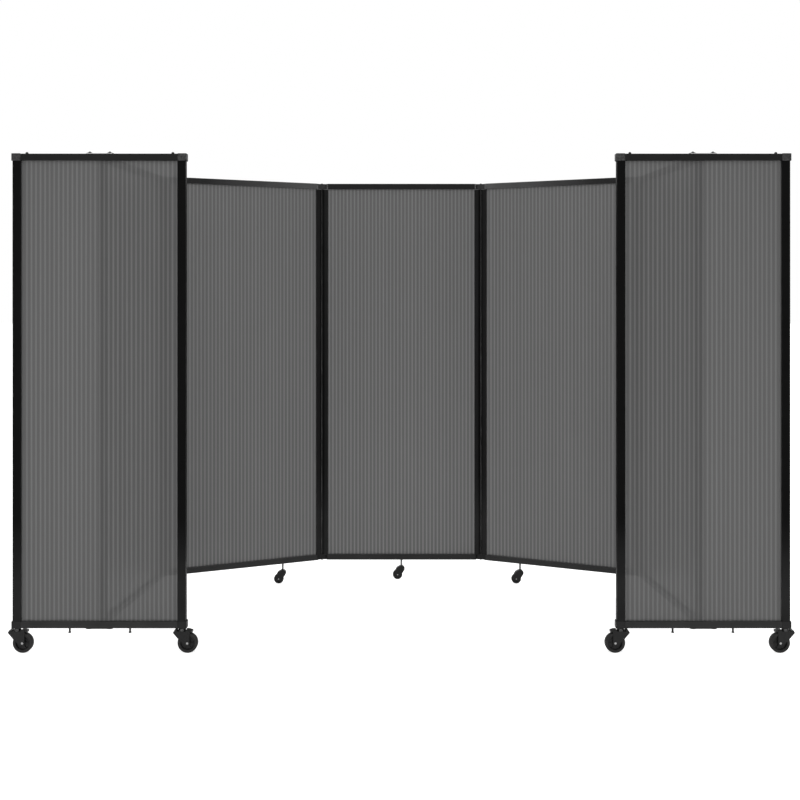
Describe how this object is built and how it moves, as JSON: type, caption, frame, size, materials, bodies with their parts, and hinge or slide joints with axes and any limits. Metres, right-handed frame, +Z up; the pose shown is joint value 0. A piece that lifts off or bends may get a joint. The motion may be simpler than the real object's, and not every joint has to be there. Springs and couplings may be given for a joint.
{
  "type": "folding room partition",
  "caption": "Folding room divider of fluted translucent panels in slim black frames, hinged to fold flat, on swivel casters with braked wheels at each end.",
  "frame": {"origin": "on the floor under the middle of the partition's box as it stands in the picture", "axes": "+Z up, +X to the viewer's right along the centre panel, the viewer stands at -Y"},
  "size_m": [3.2804, 1.2378, 2.0937],
  "materials": {
    "fluted_sheet": "smoky translucent twin-wall sheet with upright flutes",
    "frame": "satin black coated aluminium",
    "corner_piece": "dark grey moulded, satin",
    "hinge_post": "satin black",
    "bare_steel": "zinc plated",
    "black_screw": "semi-gloss black",
    "caster_body": "semi-gloss black moulded",
    "caster_wheel": "black tread on a black hub",
    "brake_pedal": "dark grey moulded"
  },
  "bodies": {
    "centre_panel": {"centre_sheet": "fluted_sheet", "centre_stiles": "frame", "centre_rails": "frame", "centre_corner_fittings": "corner_piece"},
    "centre_caster_fork": {"centre_caster_fork": "caster_body"},
    "centre_caster_wheel": {"centre_caster_wheel": "caster_wheel"},
    "left_centre_hinge": {"left_centre_hinge_post": "hinge_post", "left_centre_hinge_pins": "bare_steel"},
    "left_inner_panel": {"left_inner_sheet": "fluted_sheet", "left_inner_stiles": "frame", "left_inner_rails": "frame", "left_inner_corner_fittings": "corner_piece"},
    "left_outer_hinge": {"left_outer_hinge_post": "hinge_post", "left_outer_hinge_pins": "bare_steel"},
    "left_outer_panel": {"left_outer_sheet": "fluted_sheet", "left_outer_stiles": "frame", "left_outer_rails": "frame", "left_outer_corner_fittings": "corner_piece"},
    "left_end_panel": {"left_end_sheet": "fluted_sheet", "left_end_stiles": "frame", "left_end_rails": "frame", "left_end_corner_blocks": "corner_piece", "left_end_pivot_brackets": "bare_steel", "left_end_screws": "black_screw", "left_end_stop_pins": "black_screw"},
    "left_inner_caster_fork": {"left_inner_caster_fork": "caster_body"},
    "left_inner_caster_wheel": {"left_inner_caster_wheel": "caster_wheel"},
    "left_end_outer_caster_fork": {"left_end_outer_caster_fork": "caster_body"},
    "left_end_outer_caster_wheel": {"left_end_outer_caster_wheel": "caster_wheel"},
    "left_end_outer_caster_pedal": {"left_end_outer_caster_pedal": "brake_pedal"},
    "left_end_inner_caster_fork": {"left_end_inner_caster_fork": "caster_body"},
    "left_end_inner_caster_wheel": {"left_end_inner_caster_wheel": "caster_wheel"},
    "left_end_inner_caster_pedal": {"left_end_inner_caster_pedal": "brake_pedal"},
    "right_centre_hinge": {"right_centre_hinge_post": "hinge_post", "right_centre_hinge_pins": "bare_steel"},
    "right_inner_panel": {"right_inner_sheet": "fluted_sheet", "right_inner_stiles": "frame", "right_inner_rails": "frame", "right_inner_corner_fittings": "corner_piece"},
    "right_outer_hinge": {"right_outer_hinge_post": "hinge_post", "right_outer_hinge_pins": "bare_steel"},
    "right_outer_panel": {"right_outer_sheet": "fluted_sheet", "right_outer_stiles": "frame", "right_outer_rails": "frame", "right_outer_corner_fittings": "corner_piece"},
    "right_end_panel": {"right_end_sheet": "fluted_sheet", "right_end_stiles": "frame", "right_end_rails": "frame", "right_end_corner_blocks": "corner_piece", "right_end_pivot_brackets": "bare_steel", "right_end_screws": "black_screw", "right_end_stop_pins": "black_screw"},
    "right_inner_caster_fork": {"right_inner_caster_fork": "caster_body"},
    "right_inner_caster_wheel": {"right_inner_caster_wheel": "caster_wheel"},
    "right_end_outer_caster_fork": {"right_end_outer_caster_fork": "caster_body"},
    "right_end_outer_caster_wheel": {"right_end_outer_caster_wheel": "caster_wheel"},
    "right_end_outer_caster_pedal": {"right_end_outer_caster_pedal": "brake_pedal"},
    "right_end_inner_caster_fork": {"right_end_inner_caster_fork": "caster_body"},
    "right_end_inner_caster_wheel": {"right_end_inner_caster_wheel": "caster_wheel"},
    "right_end_inner_caster_pedal": {"right_end_inner_caster_pedal": "brake_pedal"}
  },
  "joints": [
    {"name": "centre_caster_swivel", "type": "hinge", "parent": "centre_panel", "child": "centre_caster_fork", "pos_m": [0, 0.60286, 0.104], "axis": [0, 0, 1], "continuous": true},
    {"name": "centre_caster_wheel_spin", "type": "hinge", "parent": "centre_caster_fork", "child": "centre_caster_wheel", "pos_m": [-0.02, 0.60286, 0.025], "axis": [0, 1, 0], "continuous": true},
    {"name": "left_centre_hinge_near", "type": "hinge", "parent": "centre_panel", "child": "left_centre_hinge", "pos_m": [-0.401, 0.60286, 1.0935], "axis": [0, 0, 1], "range_deg": [-102.25, 77.75]},
    {"name": "left_centre_hinge_far", "type": "hinge", "parent": "left_centre_hinge", "child": "left_inner_panel", "pos_m": [-0.43618, 0.59522, 1.0935], "axis": [0, 0, 1], "range_deg": [-102.25, 77.75]},
    {"name": "left_outer_hinge_near", "type": "hinge", "parent": "left_inner_panel", "child": "left_outer_hinge", "pos_m": [-1.16597, 0.26263, 1.0935], "axis": [0, 0, -1], "range_deg": [-59.88, 120.12]},
    {"name": "left_outer_hinge_far", "type": "hinge", "parent": "left_outer_hinge", "child": "left_outer_panel", "pos_m": [-1.18681, 0.23328, 1.0935], "axis": [0, 0, -1], "range_deg": [-59.88, 120.12]},
    {"name": "left_end_pivot", "type": "hinge", "parent": "left_outer_panel", "child": "left_end_panel", "pos_m": [-1.26019, -0.56536, 1.0935], "axis": [0, 0, 1], "range_deg": [-95.25, 84.75]},
    {"name": "left_inner_caster_swivel", "type": "hinge", "parent": "left_inner_panel", "child": "left_inner_caster_fork", "pos_m": [-0.61635, 0.51311, 0.104], "axis": [0, 0, 1], "continuous": true},
    {"name": "left_inner_caster_wheel_spin", "type": "hinge", "parent": "left_inner_caster_fork", "child": "left_inner_caster_wheel", "pos_m": [-0.63635, 0.51311, 0.025], "axis": [0, 1, 0], "continuous": true},
    {"name": "left_end_outer_caster_swivel", "type": "hinge", "parent": "left_end_panel", "child": "left_end_outer_caster_fork", "pos_m": [-1.60419, -0.60136, 0.104], "axis": [0, 0, 1], "continuous": true},
    {"name": "left_end_outer_caster_wheel_spin", "type": "hinge", "parent": "left_end_outer_caster_fork", "child": "left_end_outer_caster_wheel", "pos_m": [-1.58019, -0.60136, 0.042], "axis": [0, 1, 0], "continuous": true},
    {"name": "left_end_outer_caster_brake", "type": "hinge", "parent": "left_end_outer_caster_fork", "child": "left_end_outer_caster_pedal", "pos_m": [-1.58019, -0.60136, 0.091], "axis": [0, 1, 0], "range_deg": [0, 10]},
    {"name": "left_end_inner_caster_swivel", "type": "hinge", "parent": "left_end_panel", "child": "left_end_inner_caster_fork", "pos_m": [-0.91619, -0.60136, 0.104], "axis": [0, 0, 1], "continuous": true},
    {"name": "left_end_inner_caster_wheel_spin", "type": "hinge", "parent": "left_end_inner_caster_fork", "child": "left_end_inner_caster_wheel", "pos_m": [-0.89219, -0.60136, 0.042], "axis": [0, 1, 0], "continuous": true},
    {"name": "left_end_inner_caster_brake", "type": "hinge", "parent": "left_end_inner_caster_fork", "child": "left_end_inner_caster_pedal", "pos_m": [-0.89219, -0.60136, 0.091], "axis": [0, 1, 0], "range_deg": [0, 10]},
    {"name": "right_centre_hinge_near", "type": "hinge", "parent": "centre_panel", "child": "right_centre_hinge", "pos_m": [0.401, 0.60286, 1.0935], "axis": [0, 0, 1], "range_deg": [-77.75, 102.25]},
    {"name": "right_centre_hinge_far", "type": "hinge", "parent": "right_centre_hinge", "child": "right_inner_panel", "pos_m": [0.43618, 0.59522, 1.0935], "axis": [0, 0, 1], "range_deg": [-77.75, 102.25]},
    {"name": "right_outer_hinge_near", "type": "hinge", "parent": "right_inner_panel", "child": "right_outer_hinge", "pos_m": [1.16597, 0.26263, 1.0935], "axis": [0, 0, -1], "range_deg": [-120.12, 59.88]},
    {"name": "right_outer_hinge_far", "type": "hinge", "parent": "right_outer_hinge", "child": "right_outer_panel", "pos_m": [1.18681, 0.23328, 1.0935], "axis": [0, 0, -1], "range_deg": [-120.12, 59.88]},
    {"name": "right_end_pivot", "type": "hinge", "parent": "right_outer_panel", "child": "right_end_panel", "pos_m": [1.26019, -0.56536, 1.0935], "axis": [0, 0, 1], "range_deg": [-84.75, 95.25]},
    {"name": "right_inner_caster_swivel", "type": "hinge", "parent": "right_inner_panel", "child": "right_inner_caster_fork", "pos_m": [0.61635, 0.51311, 0.104], "axis": [0, 0, 1], "continuous": true},
    {"name": "right_inner_caster_wheel_spin", "type": "hinge", "parent": "right_inner_caster_fork", "child": "right_inner_caster_wheel", "pos_m": [0.59635, 0.51311, 0.025], "axis": [0, 1, 0], "continuous": true},
    {"name": "right_end_outer_caster_swivel", "type": "hinge", "parent": "right_end_panel", "child": "right_end_outer_caster_fork", "pos_m": [1.60419, -0.60136, 0.104], "axis": [0, 0, 1], "continuous": true},
    {"name": "right_end_outer_caster_wheel_spin", "type": "hinge", "parent": "right_end_outer_caster_fork", "child": "right_end_outer_caster_wheel", "pos_m": [1.58019, -0.60136, 0.042], "axis": [0, 1, 0], "continuous": true},
    {"name": "right_end_outer_caster_brake", "type": "hinge", "parent": "right_end_outer_caster_fork", "child": "right_end_outer_caster_pedal", "pos_m": [1.58019, -0.60136, 0.091], "axis": [0, -1, 0], "range_deg": [0, 10]},
    {"name": "right_end_inner_caster_swivel", "type": "hinge", "parent": "right_end_panel", "child": "right_end_inner_caster_fork", "pos_m": [0.91619, -0.60136, 0.104], "axis": [0, 0, 1], "continuous": true},
    {"name": "right_end_inner_caster_wheel_spin", "type": "hinge", "parent": "right_end_inner_caster_fork", "child": "right_end_inner_caster_wheel", "pos_m": [0.89219, -0.60136, 0.042], "axis": [0, 1, 0], "continuous": true},
    {"name": "right_end_inner_caster_brake", "type": "hinge", "parent": "right_end_inner_caster_fork", "child": "right_end_inner_caster_pedal", "pos_m": [0.89219, -0.60136, 0.091], "axis": [0, -1, 0], "range_deg": [0, 10]}
  ]
}
